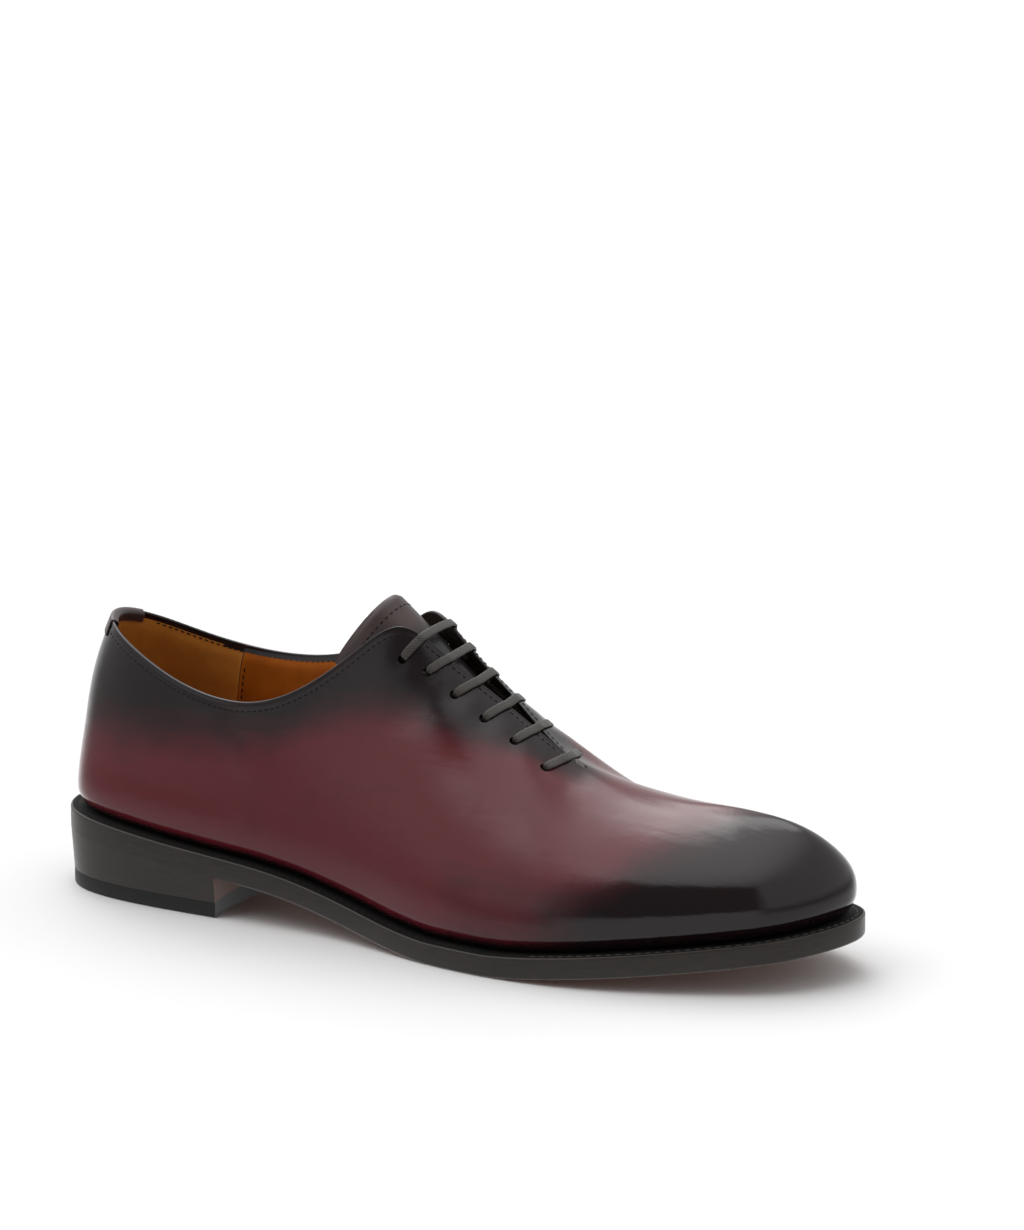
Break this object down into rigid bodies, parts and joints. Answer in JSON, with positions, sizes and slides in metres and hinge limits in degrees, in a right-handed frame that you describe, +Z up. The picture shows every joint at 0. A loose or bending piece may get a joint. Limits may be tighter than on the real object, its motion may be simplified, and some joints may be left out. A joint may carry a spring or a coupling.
{
  "type": "plain-toe oxford shoe",
  "caption": "Right plain-toe oxford cut from one piece of leather: hollow upper with closed lacing, tongue, insole, welt, leather sole with arch and toe spring, stacked heel with top lift.",
  "frame": {"origin": "on the floor, under the middle of the shoe's bounding box", "axes": "+X towards the toe, -Y towards the outer side of the foot, +Z up"},
  "size_m": [0.303, 0.1003, 0.1145],
  "materials": {
    "burgundy_calf": "polished, hand-coloured",
    "tongue_calf": "satin",
    "insole_leather": "satin",
    "welt_leather": "waxed",
    "sole_leather": "waxed edge",
    "heel_stack": "waxed edge",
    "lift_rubber": "matte",
    "tab_calf": "satin",
    "waxed_lace": "waxed, matte"
  },
  "bodies": {
    "root": {"upper": "burgundy_calf", "tongue": "tongue_calf", "insole": "insole_leather", "welt": "welt_leather", "outsole": "sole_leather", "heel": "heel_stack", "top_lift": "lift_rubber", "heel_tab": "tab_calf", "lace_bar_1": "waxed_lace", "lace_bar_2": "waxed_lace", "lace_bar_3": "waxed_lace", "lace_bar_4": "waxed_lace", "lace_bar_5": "waxed_lace", "lace_bar_6": "waxed_lace"}
  },
  "joints": []
}
